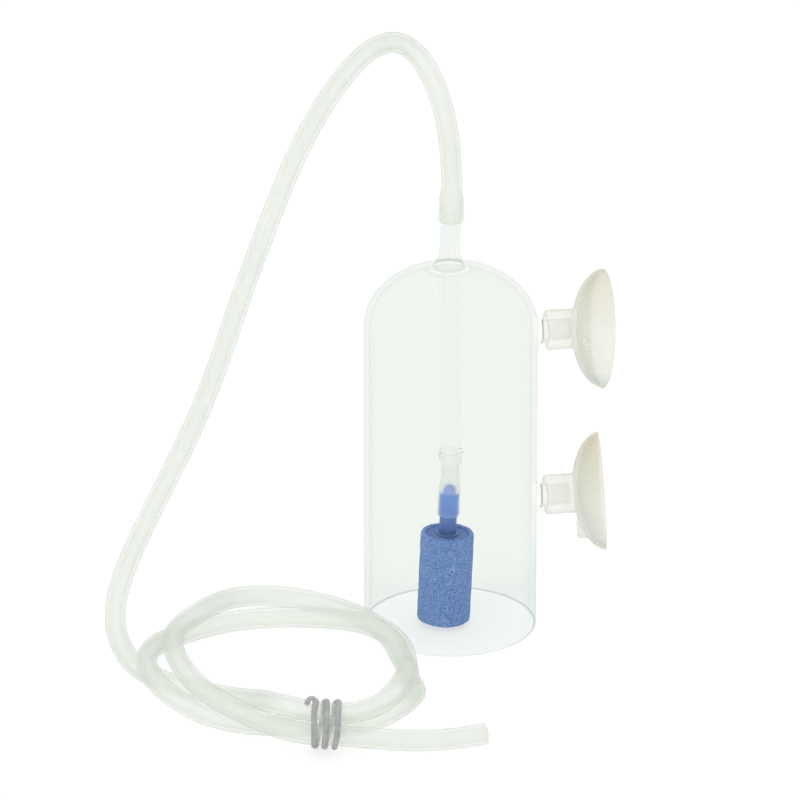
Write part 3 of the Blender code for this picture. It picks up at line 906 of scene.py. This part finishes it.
def make_stone(look):
    """A turned cylinder with a shallow recess in its top, roughened all over."""
    floor, bore = STONE_TOP - STONE_RECESS, 0.0028
    profile = rounded([
        (0, STONE_TOP - 0.0030),
        (bore, STONE_TOP - 0.0030),
        (bore, floor, 0.0002),
        (RECESS_RADIUS - 0.0003, floor, 0.0002),
        (RECESS_RADIUS, STONE_TOP, 0.0002),
        (STONE_RADIUS, STONE_TOP, 0.0011),
        (STONE_RADIUS, STONE_BASE, 0.0012),
        (0, STONE_BASE),
    ], closed=False, steps=5)
    dense = [profile[0]]
    for point in profile[1:]:
        last = Vector(dense[-1])
        run = Vector(point) - last
        pieces = max(1, math.ceil(run.length / 0.00036))
        dense += [tuple(last + run * (j / pieces)) for j in range(1, pieces + 1)]
    bm = turned(dense, 132)
    bmesh.ops.recalc_face_normals(bm, faces=bm.faces)
    bm.normal_update()
    for vert in bm.verts:
        grain = noise.noise(vert.co / 0.00055)
        lumps = noise.noise(vert.co / 0.0021 + Vector((7, 3, 1)))
        vert.co += vert.normal * (0.00007 * grain + 0.00009 * lumps)
    stone = add_mesh("stone_grain", bm, look, sharp_angle=75)
    lean_over(stone)
    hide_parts("air_stone")
    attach(stone, "stone")


def make_stem(look):
    """A hollow nozzle with a thin flange that sits in the stone's recess."""
    shoulder, flange = 0.0025, 0.0031
    sleeve_end = -SLEEVE_DEPTH - 0.0003
    flange_top = STONE_TOP - 0.0001
    outline = rounded([
        (STEM_BORE, STEM_TOP, 0.0002),
        (STEM_BORE, STONE_TOP - 0.0024, 0.0002),
        (shoulder, STONE_TOP - 0.0024, 0.0003),
        (shoulder, flange_top - 0.0007, 0.0001),
        (flange, flange_top - 0.0007, 0.0001),
        (flange, flange_top, 0.0003),
        (shoulder, flange_top, 0.0004),
        (shoulder, sleeve_end, 0.0002),
        (STEM_RADIUS + 0.0001, sleeve_end + 0.0002, 0.0002),
        (STEM_RADIUS, STEM_TOP - 0.0015, 0.0010),
        (0.0013, STEM_TOP, 0.0006),
    ])
    stem = add_mesh("stem_plastic", turned(outline, 56), look)
    lean_over(stem)
    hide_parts("stone_stem")
    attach(stem, "stone")


def make_sleeve(look):
    """One piece from the glass tube to the stem. It has a fixed bend, by the stone's lean, where the stone
    swings.
    """
    tube = TUBE_RADIUS + 0.00008
    stem = STEM_RADIUS - 0.00001
    top = SLEEVE_TOP - PIVOT.z
    foot = TUBE_LOW.z - PIVOT.z
    corners = [
        (tube + 0.0002, top, 0.0003),
        (tube, top - 0.0014, 0.0008),
        (tube, foot - 0.0003, 0.0010),
        (0.0020, foot - 0.0022, 0.0014),
        (0.0019, STEM_TOP + 0.0016, 0.0014),
        (stem, STEM_TOP - 0.0006, 0.0010),
        (stem, -SLEEVE_DEPTH, 0.0002),
        (stem + 0.0011, -SLEEVE_DEPTH, 0.0003),
        (stem + 0.0011, STEM_TOP - 0.0010, 0.0020),
        (0.0026, STEM_TOP + 0.0022, 0.0020),
        (0.0027, foot - 0.0020, 0.0020),
        (tube + 0.0005, foot + 0.0010, 0.0020),
        (tube + 0.0009, top, 0.0004),
    ]
    outline = rounded(corners, steps=6)
    bm = turned(outline, 56)
    upright = [edge for edge in bm.edges if abs(edge.verts[0].co.z - edge.verts[1].co.z) > 0.0012]
    bmesh.ops.subdivide_edges(bm, edges=upright, cuts=3)
    bend_from, bend_to = foot, STEM_TOP
    for vert in bm.verts:
        share = min(1, max(0, (bend_from - vert.co.z) / (bend_from - bend_to)))
        share = share * share * (3 - 2 * share)
        vert.co = Matrix.Rotation(LEAN * share, 3, "Y") @ vert.co
        vert.co += PIVOT
    sleeve = add_mesh("stone_sleeve", bm, look)
    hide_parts("sleeve_upper_half", "sleeve_lower_half")
    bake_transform(sleeve)


# Hose and tie


def hose_curve():
    return smooth_curve(HOSE_ROUTE, 24) + np.array([AXIS_X, 0, 0])


def make_hose(look):
    """A hollow tube, stretched where it grips the nipple, and cut square at its free end."""
    path = evenly_spaced(hose_curve(), 0.0015)
    along = lengths_along(path)
    tangents = tangents_of(path)
    normals = carried_normals(path, tangents)
    sides = np.cross(tangents, normals)
    grip = NIPPLE_RADIUS + 0.00006
    thinned = grip + 0.00052  # the wall is thinner where it is stretched
    nipple_end = TUBE_HIGH.z - MOUTH_HEIGHT
    settle = 0.0045  # length over which it narrows past the nipple's end
    stretch = np.clip((nipple_end + settle - along) / settle, 0, 1)
    stretch = stretch * stretch * (3 - 2 * stretch)
    inner = HOSE_BORE + (grip - HOSE_BORE) * stretch
    outer = HOSE_RADIUS + (thinned - HOSE_RADIUS) * stretch
    lip = np.clip(1 - along / 0.0042, 0, 1)
    outer += (MOUTH_RADIUS - thinned) * lip**1.3
    inner += 0.00012 * np.clip(1 - along / 0.002, 0, 1)
    bm = bmesh.new()
    outside, inside = [], []
    for sides_count, radii, rings in ((32, outer, outside), (20, inner, inside)):
        turns = np.arange(sides_count) * 2 * math.pi / sides_count
        for k, point in enumerate(path):
            spokes = np.outer(np.cos(turns), normals[k]) + np.outer(np.sin(turns), sides[k])
            rings.append(point + spokes * radii[k])
    made_out = skin(bm, outside)
    made_in = skin(bm, inside)
    for end in (0, -1):
        loops = (made_out[end], made_in[end])
        edges = [bm.edges.get((loop[j - 1], loop[j])) for loop in loops for j in range(len(loop))]
        bmesh.ops.bridge_loops(bm, edges=edges)
    hose = add_mesh("silicone_hose", bm, look, sharp_angle=60)
    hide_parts("hose_mouth", "supply_hose")
    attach(hose, "bell")
    return hose, path


def strands_at(curve, place, along, across, reach=0.012):
    """(across, height) of each strand of the hose that passes within reach of a plane square to along."""
    offsets = (curve - np.array(place)) @ np.array(along)
    beside = (curve - np.array(place)) @ np.array(across)
    found = []
    for k in range(len(curve) - 1):
        if offsets[k] * offsets[k + 1] <= 0 and abs(beside[k]) < reach:
            t = offsets[k] / (offsets[k] - offsets[k + 1])
            point = curve[k] + t * (curve[k + 1] - curve[k])
            found.append((float((point - np.array(place)) @ np.array(across)), float(point[2])))
    return found


def tie_line():
    """The tie's middle, three turns and a tail bent back, and at each point the way out from the bundle."""
    curve = hose_curve()
    along = Vector((math.cos(TIE_HEADING), math.sin(TIE_HEADING), 0))
    across = Vector((math.sin(TIE_HEADING), -math.cos(TIE_HEADING), 0))
    middle = TIE_PLACE + Vector((AXIS_X, 0, 0))
    reach = HOSE_RADIUS + TIE_THICKNESS / 2 + 0.00006
    per_turn = 48
    path, outwards = [], []
    count = round((TIE_TURNS - 0.4) * per_turn)
    for k in range(count + 1):
        turn = math.radians(100) - 2 * math.pi * k / per_turn
        way = (math.cos(turn), math.sin(turn))
        slant = 0.0005 + 0.0008 * k / count
        advance = TIE_PITCH * (k / per_turn - TIE_TURNS / 2 + 0.25) + slant * math.sin(turn)
        plane = middle + along * advance
        strands = strands_at(curve, plane, along, across)
        side, height = max(strands, key=lambda strand: strand[0] * way[0] + strand[1] * way[1])
        point = plane + across * (side + reach * way[0])
        point.z = height + reach * way[1]
        path.append(point)
        outwards.append(across * way[0] + Vector((0, 0, way[1])))
    tail = (
        (-0.0021, 0.0015, -0.0009),
        (-0.0019, 0.0008, -0.0002),
        (-0.0013, 0.0001, 0.0003),
        (-0.0005, -0.0002, 0.0003),
    )
    lead = [path[0] + along * back + across * aside + Vector((0, 0, up)) for back, aside, up in tail]
    line = smooth_curve([tuple(point) for point in lead + path[::6]], 8)
    knots = np.array([tuple(way) for way in outwards[:1] * len(lead) + outwards[::6]])
    stations = np.arange(len(line)) / 8
    ways = np.stack([np.interp(stations, np.arange(len(knots)), knots[:, k]) for k in range(3)], axis=1)
    return line, ways


def make_tie(coat_look, wire_look):
    path, outs = tie_line()
    tangents = tangents_of(path)
    outs = outs - tangents * (outs * tangents).sum(1)[:, None]
    outs /= np.linalg.norm(outs, axis=1)[:, None]
    sides = np.cross(tangents, outs)
    turns = np.arange(20) * 2 * math.pi / 20
    flat, thick = TIE_WIDTH / 2, TIE_THICKNESS / 2
    along = lengths_along(path)
    rings = []
    for k, point in enumerate(path):
        end = min(along[k], along[-1] - along[k])
        taper = min(1, 0.82 + end / 0.0015)
        rings.append(
            point
            + np.outer(np.cos(turns) * flat * taper, sides[k])
            + np.outer(np.sin(turns) * thick * taper * (1 + 0.14 * np.cos(turns * 2 - math.pi)), outs[k])
        )
    bm = bmesh.new()
    skin(bm, rings, closed_ends=True)
    coat = add_mesh("tie_coat", bm, coat_look, sharp_angle=60)
    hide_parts("twist_tie_coat")
    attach(coat, "bell")
    stub = 0.0007  # bare wire beyond the coat
    bm = bmesh.new()
    turns = np.arange(12) * 2 * math.pi / 12
    for end, way in ((0, -1), (-1, 1)):
        ends = [path[end] + tangents[end] * way * step for step in (-0.001, 0, stub * 0.8, stub)]
        shrink = (1, 1, 1, 0.75)
        circle = np.outer(np.cos(turns), sides[end]) + np.outer(np.sin(turns), outs[end])
        rings = [place + circle * WIRE_RADIUS * share for place, share in zip(ends, shrink)]
        skin(bm, rings, closed_ends=True)
    wire = add_mesh("tie_wire_ends", bm, wire_look)
    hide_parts("twist_tie_wire")
    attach(wire, "bell")
    return coat, wire


def main():
    make_camera()
    make_studio()
    make_floor()
    hose_silicone = silicone_look("hose_silicone", (0.75, 0.785, 0.735), 0.20, 0.56, 0.36)
    # Stops of painted shade and painted reflection for the cups, from their top to their bottom.
    painted_shade_stops = (
        (0.05, (0.83, 0.78, 0.64)),
        (0.38, (0.99, 0.99, 0.98)),
        (0.75, (0.98, 0.99, 0.99)),
        (0.96, (0.78, 0.82, 0.84)),
    )
    cup_silicone = silicone_look("cup_silicone", (0.735, 0.735, 0.645), 0.34, 0.58, 0.30, painted_shade_stops)
    hose, hose_path = make_hose(hose_silicone)
    tie_parts = make_tie(tie_coat_look(), steel_look())
    make_glass(glass_look())
    for level in ("lower", "upper"):
        make_cup(level, cup_silicone)
    make_sleeve(sleeve_look())
    make_stem(blue_plastic_look())
    make_stone(stone_look())


main()
